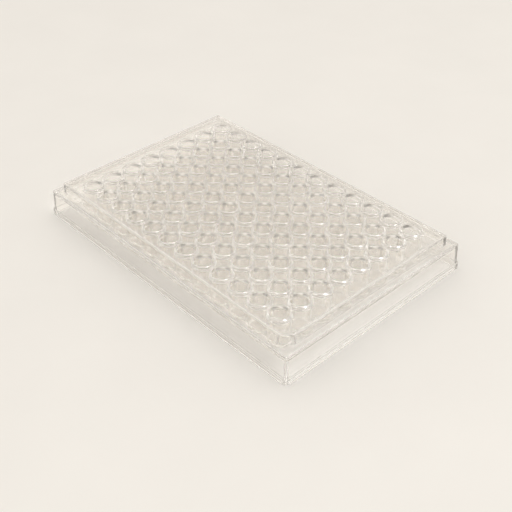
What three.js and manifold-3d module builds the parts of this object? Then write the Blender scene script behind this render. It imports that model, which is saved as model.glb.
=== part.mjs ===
// A 96-well plate: one clear moulding, open underneath, with 12 columns and 8 rows of flat-bottomed wells.
// Millimetres, +Z up. The origin is on the surface that the plate stands on, under its middle.
// X runs along the long side and Y along the short side. One corner of the deck is cut off, at +X and -Y.

import * as THREE from 'three';
import { mergeVertices } from 'three/addons/utils/BufferGeometryUtils.js';
import Module from 'manifold-3d';

const wasm = await Module();
wasm.setup();

// The size of the plate and the places of its wells follow the common microplate standard.
const LENGTH = 127.76;
const WIDTH = 85.48;
const HEIGHT = 14.35; // from the table to the rims of the wells
const COLUMNS = 12; // along X
const ROWS = 8; // along Y
const PITCH = 9; // between the axes of neighbouring wells

// The outside, from the foot up: a low flange, a tall skirt, a ledge for a lid, and a narrower deck.
const FLANGE_HEIGHT = 2.41;
const FLANGE_CORNER = 2;
const SKIRT_INSET = 0.6; // from the flange to the skirt where they meet
const SKIRT_DRAFT = 0.35; // how far each skirt wall leans in by the time it reaches the ledge
const SKIRT_CORNER = 1.5;
const LEDGE_HEIGHT = 10.05;
const DECK_HEIGHT = 13.55;
const DECK_INSET = 4; // from the flange to the foot of the deck's side wall
const DECK_DRAFT = 0.2;
const DECK_CORNER = 1;
const CUT_CORNER = 4; // how far the cut corner reaches along each side of the deck

// Wall thicknesses.
const SKIRT_WALL = 1.3;
const DECK_WALL = 1.2;
const WELL_FLOOR = 1.27;

// A well is a tapered cup with a raised rim, in a round tube that hangs from the deck.
const WELL_DEPTH = 10.67;
const WELL_TOP_RADIUS = 3.43;
const WELL_BOTTOM_RADIUS = 3.18;
const RIM_RADIUS = 4.1;
const TUBE_TOP_RADIUS = 4.15;
const TUBE_BOTTOM_RADIUS = 3.9;

const ROUND_SIDES = 8; // of every well, rim and tube
const CORNER_STEPS = 3;
const OVERLAP = 0.2; // pieces that are joined run this far into each other

// Turns a three.js geometry into a solid that can be joined and cut.
function solid(geometry) {
  const bare = geometry.clone();
  bare.deleteAttribute('normal');
  bare.deleteAttribute('uv');
  const merged = mergeVertices(bare, 1e-5);
  return new wasm.Manifold(new wasm.Mesh({
    numProp: 3,
    vertProperties: new Float32Array(merged.attributes.position.array),
    triVerts: new Uint32Array(merged.index.array),
  }));
}

// Turns a solid back into a three.js geometry.
function geometryOf(manifold) {
  const mesh = manifold.getMesh();
  const geometry = new THREE.BufferGeometry();
  geometry.setAttribute('position', new THREE.BufferAttribute(mesh.vertProperties, 3));
  geometry.setIndex(new THREE.BufferAttribute(mesh.triVerts, 1));
  geometry.computeVertexNormals();
  return geometry;
}

// A rectangle about the origin with round corners. The corner at +X and -Y may be cut off straight.
function outline(halfLength, halfWidth, radius, cut = 0) {
  const shape = new THREE.Shape();
  const x = halfLength - radius;
  const y = halfWidth - radius;
  shape.moveTo(-x, -halfWidth);
  if (cut > 0) {
    shape.lineTo(halfLength - cut, -halfWidth);
    shape.lineTo(halfLength, cut - halfWidth);
  } else {
    shape.lineTo(x, -halfWidth);
    shape.absarc(x, -y, radius, -Math.PI / 2, 0);
  }
  shape.lineTo(halfLength, y);
  shape.absarc(x, y, radius, 0, Math.PI / 2);
  shape.lineTo(-x, halfWidth);
  shape.absarc(-x, y, radius, Math.PI / 2, Math.PI);
  shape.lineTo(-halfLength, -y);
  shape.absarc(-x, -y, radius, Math.PI, 1.5 * Math.PI);
  return shape;
}

// A block of that outline between two heights. With a draft, its four walls lean in towards the top.
function block({ inset, radius, bottom, top, draft = 0, cut = 0 }) {
  const shape = outline(LENGTH / 2 - inset, WIDTH / 2 - inset, radius, cut);
  const geometry = new THREE.ExtrudeGeometry(shape, {
    depth: top - bottom,
    bevelEnabled: false,
    curveSegments: CORNER_STEPS,
  });
  geometry.translate(0, 0, bottom);
  const points = geometry.attributes.position;
  for (let i = 0; i < points.count; i += 1) {
    const lean = draft * (points.getZ(i) - bottom) / (top - bottom);
    points.setX(i, points.getX(i) - lean * Math.sign(points.getX(i)));
    points.setY(i, points.getY(i) - lean * Math.sign(points.getY(i)));
  }
  return solid(geometry);
}

// An upright round body between two heights. Its flat sides enclose the same area as the true circle,
// and its edges face along the axes and the diagonals.
function round({ x, y, bottomRadius, topRadius, bottom, top }) {
  const turn = 2 * Math.PI / ROUND_SIDES;
  const swell = Math.sqrt(turn / Math.sin(turn));
  const geometry = new THREE.CylinderGeometry(
    topRadius * swell,
    bottomRadius * swell,
    top - bottom,
    ROUND_SIDES,
  );
  geometry.rotateX(Math.PI / 2);
  geometry.translate(x, y, (bottom + top) / 2);
  return solid(geometry);
}

// The outer skin as one stepped block: flange, skirt and deck.
function outerBody() {
  const flange = block({ inset: 0, radius: FLANGE_CORNER, bottom: 0, top: FLANGE_HEIGHT });
  const skirt = block({
    inset: SKIRT_INSET,
    radius: SKIRT_CORNER,
    bottom: FLANGE_HEIGHT - OVERLAP,
    top: LEDGE_HEIGHT,
    draft: SKIRT_DRAFT,
  });
  const deck = block({
    inset: DECK_INSET,
    radius: DECK_CORNER,
    bottom: LEDGE_HEIGHT - OVERLAP,
    top: DECK_HEIGHT,
    draft: DECK_DRAFT,
    cut: CUT_CORNER,
  });
  return flange.add(skirt).add(deck);
}

// The space under the plate, one wall thickness inside the outer skin.
function underside() {
  const lower = block({
    inset: SKIRT_INSET + SKIRT_WALL,
    radius: DECK_CORNER,
    bottom: -OVERLAP,
    top: LEDGE_HEIGHT - SKIRT_WALL,
    draft: SKIRT_DRAFT,
  });
  const upper = block({
    inset: DECK_INSET + SKIRT_WALL,
    radius: DECK_CORNER,
    bottom: LEDGE_HEIGHT - SKIRT_WALL - OVERLAP,
    top: DECK_HEIGHT - DECK_WALL,
    draft: DECK_DRAFT,
    cut: CUT_CORNER - SKIRT_WALL * (2 - Math.SQRT2),
  });
  return lower.add(upper);
}

// Calls make(x, y) for the axis of every well and joins what it returns.
function atEveryWell(make) {
  const pieces = [];
  for (let column = 0; column < COLUMNS; column += 1) {
    for (let row = 0; row < ROWS; row += 1) {
      const x = (column - (COLUMNS - 1) / 2) * PITCH;
      const y = (row - (ROWS - 1) / 2) * PITCH;
      pieces.push(make(x, y));
    }
  }
  return pieces.reduce((all, piece) => all.add(piece));
}

// The round tube under the deck, closed below by the floor of the well.
function tube(x, y) {
  return round({
    x,
    y,
    bottomRadius: TUBE_BOTTOM_RADIUS,
    topRadius: TUBE_TOP_RADIUS,
    bottom: HEIGHT - WELL_DEPTH - WELL_FLOOR,
    top: DECK_HEIGHT - DECK_WALL + OVERLAP,
  });
}

// The low collar that stands on the deck around the mouth of the well.
function rim(x, y) {
  return round({
    x,
    y,
    bottomRadius: RIM_RADIUS,
    topRadius: RIM_RADIUS,
    bottom: DECK_HEIGHT - OVERLAP,
    top: HEIGHT,
  });
}

// The inside of the well. It runs past the rim with the same taper, so that the cut is clean.
function well(x, y) {
  const taper = (WELL_TOP_RADIUS - WELL_BOTTOM_RADIUS) / WELL_DEPTH;
  return round({
    x,
    y,
    bottomRadius: WELL_BOTTOM_RADIUS,
    topRadius: WELL_TOP_RADIUS + taper * OVERLAP,
    bottom: HEIGHT - WELL_DEPTH,
    top: HEIGHT + OVERLAP,
  });
}

function wellPlate() {
  const shell = outerBody().subtract(underside());
  const plate = shell.add(atEveryWell(tube)).add(atEveryWell(rim)).subtract(atEveryWell(well));
  const clearPlastic = new THREE.MeshStandardMaterial({ color: 0xe2dacd, roughness: 0.12, metalness: 0 });
  const mesh = new THREE.Mesh(geometryOf(plate), clearPlastic);
  mesh.name = 'well_plate';
  return mesh;
}

const group = new THREE.Group();
group.add(wellPlate());

export default group;
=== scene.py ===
# A clear 96-well plate on a pale table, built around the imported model. Metres, +Z up.
# X runs along the plate's long side, and the corner at +X and -Y of its deck is cut off.

import math

import bmesh
import bpy
from mathutils import Matrix, Quaternion, Vector
from mathutils.geometry import tessellate_polygon


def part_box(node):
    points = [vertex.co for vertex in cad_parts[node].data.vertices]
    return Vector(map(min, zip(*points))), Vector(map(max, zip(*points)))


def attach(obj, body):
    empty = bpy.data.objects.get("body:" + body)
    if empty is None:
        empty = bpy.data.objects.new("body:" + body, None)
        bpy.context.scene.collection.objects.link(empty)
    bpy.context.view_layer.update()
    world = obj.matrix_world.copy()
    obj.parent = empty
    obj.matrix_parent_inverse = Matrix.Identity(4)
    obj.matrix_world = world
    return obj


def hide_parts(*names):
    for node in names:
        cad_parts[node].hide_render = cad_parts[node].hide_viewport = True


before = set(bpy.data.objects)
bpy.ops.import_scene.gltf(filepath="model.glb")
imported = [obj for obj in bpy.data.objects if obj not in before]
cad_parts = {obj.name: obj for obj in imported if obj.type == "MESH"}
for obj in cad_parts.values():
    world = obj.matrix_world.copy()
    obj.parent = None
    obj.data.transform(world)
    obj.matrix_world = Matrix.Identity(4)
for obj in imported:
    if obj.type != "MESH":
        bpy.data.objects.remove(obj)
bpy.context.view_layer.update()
plate_low, plate_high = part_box("well_plate")

MM = 0.001

# The outside, from the foot up: a low flange, a tall skirt, a ledge for a lid, and a narrower deck.
LENGTH = plate_high.x - plate_low.x
WIDTH = plate_high.y - plate_low.y
RIM_TOP = plate_high.z
FLANGE_TOP = 2.41 * MM
FLANGE_CORNER = 2.0 * MM
SKIRT_FOOT_INSET = 0.6 * MM
SKIRT_DRAFT = 0.35 * MM
SKIRT_TOP_INSET = SKIRT_FOOT_INSET + SKIRT_DRAFT
LEDGE = 10.05 * MM
DECK = 13.55 * MM
DECK_INSET = 4.0 * MM
DECK_DRAFT = 0.2 * MM
DECK_CORNER = 1.0 * MM
CUT_CORNER = 4.0 * MM  # how far the cut reaches along each side of the deck

# The inside of the skirt and of the deck.
SIDE_WALL = 1.3 * MM  # of the skirt, the ledge and the deck's sides
DECK_SHEET = 1.2 * MM
FOOT_WIDTH = SKIRT_FOOT_INSET + SIDE_WALL
SKIRT_INNER_TOP_INSET = SKIRT_TOP_INSET + SIDE_WALL
LEDGE_UNDERSIDE = LEDGE - SIDE_WALL
DECK_UNDERSIDE = DECK - DECK_SHEET

# The wells.
COLUMNS = 12
ROWS = 8
PITCH = 9.0 * MM
RIM_RADIUS = 4.1 * MM
WELL_TOP_RADIUS = 3.43 * MM
WELL_BOTTOM_RADIUS = 3.18 * MM
WELL_DEPTH = 10.67 * MM
FLOOR_SHEET = 1.27 * MM
WELL_FLOOR = RIM_TOP - WELL_DEPTH
TUBE_TOP_RADIUS = 4.15 * MM
TUBE_BOTTOM_RADIUS = 3.9 * MM
TUBE_BOTTOM = WELL_FLOOR - FLOOR_SHEET
WELL_MOUTH_RADIUS = 4.34 * MM  # just outside the rounded foot of a rim
TUBE_MOUTH_RADIUS = 4.48 * MM  # just outside the rounded top of a tube, and inside the well's square cell
WELL_SIDES = 36

# Edges are rounded by these radii.
SOFT_EDGE = 0.3 * MM
FINE_EDGE = 0.12 * MM
RIM_EDGE = 0.5 * MM
FLOOR_EDGE = 0.5 * MM
TIGHTEST_CORNER = 0.2 * MM
EDGE_STEPS = 3
CORNER_STEPS = 8
MARGIN = 0.5 * MM  # how far a flat face runs on past a rounded edge before it meets its neighbour
SAME_PLACE = 0.001 * MM  # points nearer to each other than this are merged

# The surfaces.
NOISE_LOW = 0.3  # noise mostly lies between these two values
NOISE_HIGH = 0.7
POLYSTYRENE_IOR = 1.59
SHADOW_TINT = (0.995, 0.989, 0.979, 1)  # how much light each surface lets through into the shadow

# The table, which isn't part of the plate.
TABLE_SIZE = 4.0
TABLE_GAP = 0.02 * MM  # the air under the foot

# The camera stands off the corner at +X and -Y and looks down at the deck.
CAMERA_PLACE = Vector((197.4, -177.2, 193.9)) * MM
CAMERA_AIM = Vector((16.3, -10.6, 6.6)) * MM
CAMERA_ROLL = math.radians(-0.57)
CAMERA_LENS = 62.9
CAMERA_NEAREST = 10 * MM

# A warm, even room, and a small lamp beyond the +X end that glints on the rims.
LIGHT_BOUNCES = 32  # a slanting ray passes through many thin walls
WORLD_STRENGTH = 0.915
WORLD_AT_HORIZON = (0.9, 0.853, 0.783, 1)
WORLD_OVERHEAD = (1.0, 0.951, 0.877, 1)
OVERHEAD_FROM = 0.6  # the room's colour changes up to here, where 0 is the horizon and 1 is straight up
LAMP_PLACE = Vector((1.07, -0.06, 0.9))
LAMP_SIZE = 0.2
LAMP_WATTS = 3.6


def rounded_corner(before, corner, after, radius, steps):
    """The points of the arc that rounds one corner of a flat outline."""
    back = (before - corner).normalized()
    on = (after - corner).normalized()
    half = back.angle(on) / 2
    centre = corner + (back + on).normalized() * (radius / math.sin(half))
    spoke = corner + back * (radius / math.tan(half)) - centre
    turn = math.copysign(math.pi - 2 * half, on.cross(back))
    return [centre + Matrix.Rotation(turn * k / steps, 2) @ spoke for k in range(steps + 1)]


def rounded_line(corners, radii):
    """An open line with its inner corners rounded, each by its own radius."""
    points = [corners[0]]
    for k, radius in enumerate(radii, start=1):
        points.extend(rounded_corner(corners[k - 1], corners[k], corners[k + 1], radius, EDGE_STEPS))
    return points + [corners[-1]]


def moved_in(corners, distance):
    """The corners of a convex outline, listed anticlockwise, after its sides move in by distance."""
    moved = []
    for k, corner in enumerate(corners):
        along = (corner - corners[k - 1]).normalized()
        onward = (corners[(k + 1) % len(corners)] - corner).normalized()
        inward = Vector((-along.y, along.x)) + Vector((-onward.y, onward.x))
        moved.append(corner + inward * (distance / (1 + along.dot(onward))))
    return moved


def outline(corners, inset, radius, height):
    """A ring of points at one height, along an outline moved in by inset, with its corners rounded."""
    moved = moved_in(corners, inset)
    ring = []
    for k, corner in enumerate(moved):
        after = moved[(k + 1) % len(moved)]
        arc = rounded_corner(moved[k - 1], corner, after, max(radius, TIGHTEST_CORNER), CORNER_STEPS)
        ring.extend(Vector((point.x, point.y, height)) for point in arc)
    return ring


def circle(centre, radius, height):
    """A ring of points around the axis of a well."""
    turns = [2 * math.pi * k / WELL_SIDES for k in range(WELL_SIDES)]
    return [
        Vector((centre.x + radius * math.cos(turn), centre.y + radius * math.sin(turn), height))
        for turn in turns
    ]


class Skin:
    """Gathers the points and faces of one closed surface."""

    def __init__(self):
        self.points = []
        self.faces = []

    def ring(self, points):
        """Adds a closed ring of points and returns their numbers."""
        first = len(self.points)
        self.points.extend(points)
        return list(range(first, len(self.points)))

    def wall(self, rings):
        """Adds rings of equally many points, each joined to the next. Returns the first and the last."""
        numbered = [self.ring(ring) for ring in rings]
        for here, there in zip(numbered, numbered[1:]):
            for k in range(len(here)):
                self.faces.append((here[k - 1], here[k], there[k], there[k - 1]))
        return numbered[0], numbered[-1]

    def sheet(self, outer, inner):
        """Fills the flat space between two rings."""
        numbers = outer + inner
        loops = [[self.points[k] for k in loop] for loop in (outer, inner)]
        for triangle in tessellate_polygon(loops):
            self.faces.append(tuple(numbers[k] for k in triangle))

    def mesh(self, name):
        """Makes the mesh, with points in the same place merged and all faces looking out."""
        mesh = bpy.data.meshes.new(name)
        mesh.from_pydata(self.points, [], self.faces)
        work = bmesh.new()
        work.from_mesh(mesh)
        bmesh.ops.remove_doubles(work, verts=work.verts, dist=SAME_PLACE)
        bmesh.ops.recalc_face_normals(work, faces=work.faces)
        for face in work.faces:
            face.smooth = True
        work.to_mesh(mesh)
        work.free()
        return mesh


def foot_corners():
    """The plate's footprint, anticlockwise from -X and -Y."""
    x = LENGTH / 2
    y = WIDTH / 2
    return [Vector((-x, -y)), Vector((x, -y)), Vector((x, y)), Vector((-x, y))]


def deck_corners():
    """The outline of the deck's foot, with the corner at +X and -Y cut off."""
    left, front, right, back = moved_in(foot_corners(), DECK_INSET)
    return [left, front - Vector((CUT_CORNER, 0)), front + Vector((0, CUT_CORNER)), right, back]


def upright_wall(skin, corners, corner_radius, line, radii):
    """Adds a wall along an outline. Its section is a line of insets and heights, with rounded corners."""
    section = rounded_line([Vector(point) for point in line], radii)
    return skin.wall([outline(corners, p.x, corner_radius - p.x, p.y) for p in section])


def add_skirt(skin):
    """Adds the flange and the skirt, inside and out. Returns the rings where they end."""
    foot = foot_corners()
    outside = [
        (FOOT_WIDTH / 2, 0),
        (0, 0),
        (0, FLANGE_TOP),
        (SKIRT_FOOT_INSET, FLANGE_TOP),
        (SKIRT_TOP_INSET, LEDGE),
        (SKIRT_TOP_INSET + 2 * MARGIN, LEDGE),
    ]
    inside = [
        (FOOT_WIDTH / 2, 0),
        (FOOT_WIDTH, 0),
        (SKIRT_INNER_TOP_INSET, LEDGE_UNDERSIDE),
        (SKIRT_INNER_TOP_INSET + 2 * MARGIN, LEDGE_UNDERSIDE),
    ]
    outside_radii = [SOFT_EDGE, SOFT_EDGE, FINE_EDGE, SOFT_EDGE]
    ledge = upright_wall(skin, foot, FLANGE_CORNER, outside, outside_radii)[1]
    ledge_underside = upright_wall(skin, foot, FLANGE_CORNER, inside, [SOFT_EDGE, FLOOR_EDGE])[1]
    return ledge, ledge_underside


def add_deck_walls(skin, ledge, ledge_underside):
    """Adds the deck's side walls, inside and out, and joins them to the ledge. Returns their top rings."""
    corners = deck_corners()
    outside = [(-MARGIN, LEDGE), (0, LEDGE), (DECK_DRAFT, DECK), (DECK_DRAFT + MARGIN, DECK)]
    inner_top = SIDE_WALL + DECK_DRAFT
    inside = [
        (SIDE_WALL - MARGIN, LEDGE_UNDERSIDE),
        (SIDE_WALL, LEDGE_UNDERSIDE),
        (inner_top, DECK_UNDERSIDE),
        (inner_top + MARGIN, DECK_UNDERSIDE),
    ]
    outer_foot, deck_edge = upright_wall(skin, corners, DECK_CORNER, outside, [FINE_EDGE, SOFT_EDGE])
    inner_foot, inner_edge = upright_wall(skin, corners, DECK_CORNER, inside, [SOFT_EDGE, SOFT_EDGE])
    skin.sheet(ledge, outer_foot)
    skin.sheet(ledge_underside, inner_foot)
    return deck_edge, inner_edge


def grid_edge(height):
    """The outline of all the wells' square cells together, with a point at each cell's corner."""
    x = COLUMNS * PITCH / 2
    y = ROWS * PITCH / 2
    front = [(-x + k * PITCH, -y) for k in range(COLUMNS)]
    right = [(x, -y + k * PITCH) for k in range(ROWS)]
    half = front + right
    return [Vector((*point, height)) for point in half + [(-a, -b) for a, b in half]]


def add_cell(skin, centre, mouth, height):
    """Fills a well's square cell around its mouth, the round ring where the cup begins."""
    reach = PITCH / 2
    turns = [(1, 1), (-1, 1), (-1, -1), (1, -1)]
    corners = skin.ring([centre + Vector((reach * x, reach * y, height)) for x, y in turns])
    quarter = WELL_SIDES // 4
    for k in range(WELL_SIDES):
        corner = corners[k // quarter]
        skin.faces.append((corner, mouth[k], mouth[(k + 1) % WELL_SIDES]))
    for k, corner in enumerate(corners):
        skin.faces.append((corners[k - 1], mouth[k * quarter], corner))


def add_cups(skin, edge, line, radii):
    """Adds a flat sheet at one side of the deck, with a round cup at every well. A cup's section is a
    line of radii and heights, which starts at the sheet and ends on the cup's flat floor."""
    section = rounded_line([Vector(point) for point in line], radii)
    height = section[0].y
    skin.sheet(edge, skin.ring(grid_edge(height)))
    for column in range(COLUMNS):
        for row in range(ROWS):
            x = (column - (COLUMNS - 1) / 2) * PITCH
            y = (row - (ROWS - 1) / 2) * PITCH
            centre = Vector((x, y, 0))
            mouth, floor = skin.wall([circle(centre, p.x, p.y) for p in section])
            skin.faces.append(tuple(floor))
            add_cell(skin, centre, mouth, height)


def build_plate():
    """The whole moulding as one closed surface."""
    skin = Skin()
    ledge, ledge_underside = add_skirt(skin)
    deck_edge, inner_edge = add_deck_walls(skin, ledge, ledge_underside)
    well = [
        (WELL_MOUTH_RADIUS, DECK),
        (RIM_RADIUS, DECK),
        (RIM_RADIUS, RIM_TOP),
        (WELL_TOP_RADIUS, RIM_TOP),
        (WELL_BOTTOM_RADIUS, WELL_FLOOR),
        (WELL_BOTTOM_RADIUS - 2 * FLOOR_EDGE, WELL_FLOOR),
    ]
    tube = [
        (TUBE_MOUTH_RADIUS, DECK_UNDERSIDE),
        (TUBE_TOP_RADIUS, DECK_UNDERSIDE),
        (TUBE_BOTTOM_RADIUS, TUBE_BOTTOM),
        (TUBE_BOTTOM_RADIUS - 2 * FLOOR_EDGE, TUBE_BOTTOM),
    ]
    add_cups(skin, deck_edge, well, [FINE_EDGE, RIM_EDGE, FINE_EDGE, FLOOR_EDGE])
    add_cups(skin, inner_edge, tube, [SOFT_EDGE, FLOOR_EDGE])
    plate = bpy.data.objects.new("clear_plate", skin.mesh("clear_plate"))
    bpy.context.collection.objects.link(plate)
    normals = plate.modifiers.new("flat_faces_stay_flat", "WEIGHTED_NORMAL")
    normals.weight = 100  # the largest faces count most
    return plate


def new_material(name):
    """An empty node material, with its Material Output node."""
    material = bpy.data.materials.new(name)
    material.use_nodes = True
    material.node_tree.nodes.clear()
    return material, material.node_tree.nodes.new("ShaderNodeOutputMaterial")


def noise(tree, scale, detail):
    """Soft noise over the object's own coordinates, in metres. Returns its value socket."""
    place = tree.nodes.new("ShaderNodeTexCoord")
    texture = tree.nodes.new("ShaderNodeTexNoise")
    texture.inputs["Scale"].default_value = scale
    texture.inputs["Detail"].default_value = detail
    tree.links.new(place.outputs["Object"], texture.inputs["Vector"])
    return texture.outputs["Fac"]


def spread(tree, value, low, high):
    """Maps noise to the range from low to high."""
    mapped = tree.nodes.new("ShaderNodeMapRange")
    mapped.inputs["From Min"].default_value = NOISE_LOW
    mapped.inputs["From Max"].default_value = NOISE_HIGH
    mapped.inputs["To Min"].default_value = low
    mapped.inputs["To Max"].default_value = high
    tree.links.new(value, mapped.inputs["Value"])
    return mapped.outputs["Result"]


def two_tints(tree, value, first, second):
    """A colour between two tints, as a noise value says."""
    ramp = tree.nodes.new("ShaderNodeValToRGB")
    low, high = ramp.color_ramp.elements
    low.position = NOISE_LOW
    low.color = (*first, 1)
    high.position = NOISE_HIGH
    high.color = (*second, 1)
    tree.links.new(value, ramp.inputs["Fac"])
    return ramp.outputs["Color"]


def bump(tree, value, depth):
    """A bump of that depth in metres, from a noise value."""
    bumped = tree.nodes.new("ShaderNodeBump")
    bumped.inputs["Distance"].default_value = depth
    tree.links.new(value, bumped.inputs["Height"])
    return bumped.outputs["Normal"]


def clear_plastic():
    """Clear polystyrene: a faint warm tint that varies softly, and a fine moulded surface."""
    material, output = new_material("clear_polystyrene")
    tree = material.node_tree
    shader = tree.nodes.new("ShaderNodeBsdfPrincipled")
    shader.inputs["Transmission Weight"].default_value = 1.0
    shader.inputs["IOR"].default_value = POLYSTYRENE_IOR
    clouds = noise(tree, scale=45, detail=2)
    tint = two_tints(tree, clouds, first=(0.984, 0.975, 0.961), second=(0.996, 0.99, 0.979))
    gloss = spread(tree, noise(tree, scale=400, detail=3), low=0.06, high=0.13)
    ripple = bump(tree, noise(tree, scale=700, detail=2), depth=0.01 * MM)
    tree.links.new(tint, shader.inputs["Base Color"])
    tree.links.new(gloss, shader.inputs["Roughness"])
    tree.links.new(ripple, shader.inputs["Normal"])
    passing = tree.nodes.new("ShaderNodeBsdfTransparent")
    passing.inputs["Color"].default_value = SHADOW_TINT
    rays = tree.nodes.new("ShaderNodeLightPath")
    mix = tree.nodes.new("ShaderNodeMixShader")
    tree.links.new(rays.outputs["Is Shadow Ray"], mix.inputs["Fac"])
    tree.links.new(shader.outputs["BSDF"], mix.inputs[1])
    tree.links.new(passing.outputs["BSDF"], mix.inputs[2])
    tree.links.new(mix.outputs["Shader"], output.inputs["Surface"])
    return material


def pale_table():
    """A matt, warm white surface with the faintest mottling."""
    material, output = new_material("pale_table")
    tree = material.node_tree
    shader = tree.nodes.new("ShaderNodeBsdfPrincipled")
    clouds = noise(tree, scale=25, detail=3)
    tint = two_tints(tree, clouds, first=(0.85, 0.841, 0.827), second=(0.87, 0.861, 0.847))
    gloss = spread(tree, noise(tree, scale=300, detail=3), low=0.55, high=0.7)
    grain = bump(tree, noise(tree, scale=1500, detail=2), depth=0.02 * MM)
    tree.links.new(tint, shader.inputs["Base Color"])
    tree.links.new(gloss, shader.inputs["Roughness"])
    tree.links.new(grain, shader.inputs["Normal"])
    tree.links.new(shader.outputs["BSDF"], output.inputs["Surface"])
    return material


def build_table():
    """A wide flat surface just under the foot, staged so that it isn't taken for a piece."""
    half = TABLE_SIZE / 2
    corners = [(-half, -half), (half, -half), (half, half), (-half, half)]
    mesh = bpy.data.meshes.new("table")
    mesh.from_pydata([(x, y, -TABLE_GAP) for x, y in corners], [], [(0, 1, 2, 3)])
    table = bpy.data.objects.new("table", mesh)
    bpy.context.collection.objects.link(table)
    table.data.materials.append(pale_table())


def build_camera():
    """The camera, aimed at the deck and then rolled a little."""
    data = bpy.data.cameras.new("camera")
    data.lens = CAMERA_LENS
    data.clip_start = CAMERA_NEAREST
    camera = bpy.data.objects.new("camera", data)
    camera.location = CAMERA_PLACE
    level = (CAMERA_AIM - CAMERA_PLACE).to_track_quat("-Z", "Y")
    camera.rotation_mode = "QUATERNION"
    camera.rotation_quaternion = level @ Quaternion((0, 0, 1), CAMERA_ROLL)
    bpy.context.collection.objects.link(camera)
    bpy.context.scene.camera = camera


def build_room():
    """The world's colour, from the horizon up."""
    world = bpy.data.worlds.new("soft_room")
    world.use_nodes = True
    tree = world.node_tree
    background = tree.nodes["Background"]
    background.inputs["Strength"].default_value = WORLD_STRENGTH
    place = tree.nodes.new("ShaderNodeTexCoord")
    split = tree.nodes.new("ShaderNodeSeparateXYZ")
    ramp = tree.nodes.new("ShaderNodeValToRGB")
    horizon, overhead = ramp.color_ramp.elements
    horizon.position = 0
    horizon.color = WORLD_AT_HORIZON
    overhead.position = OVERHEAD_FROM
    overhead.color = WORLD_OVERHEAD
    tree.links.new(place.outputs["Generated"], split.inputs["Vector"])
    tree.links.new(split.outputs["Z"], ramp.inputs["Fac"])
    tree.links.new(ramp.outputs["Color"], background.inputs["Color"])
    bpy.context.scene.world = world


def build_lamp():
    """A small round lamp, aimed at the plate."""
    data = bpy.data.lights.new("soft_lamp", "AREA")
    data.shape = "DISK"
    data.size = LAMP_SIZE
    data.energy = LAMP_WATTS
    lamp = bpy.data.objects.new("soft_lamp", data)
    lamp.location = LAMP_PLACE
    lamp.rotation_euler = (-LAMP_PLACE).to_track_quat("-Z", "Y").to_euler()
    bpy.context.collection.objects.link(lamp)


plate = build_plate()
plate.data.materials.append(clear_plastic())
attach(plate, "root")
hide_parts("well_plate")
build_table()
build_room()
build_lamp()
build_camera()

scene = bpy.context.scene
scene.view_settings.view_transform = "Standard"
scene.cycles.max_bounces = LIGHT_BOUNCES
scene.cycles.glossy_bounces = LIGHT_BOUNCES
scene.cycles.transmission_bounces = LIGHT_BOUNCES
scene.cycles.transparent_max_bounces = LIGHT_BOUNCES
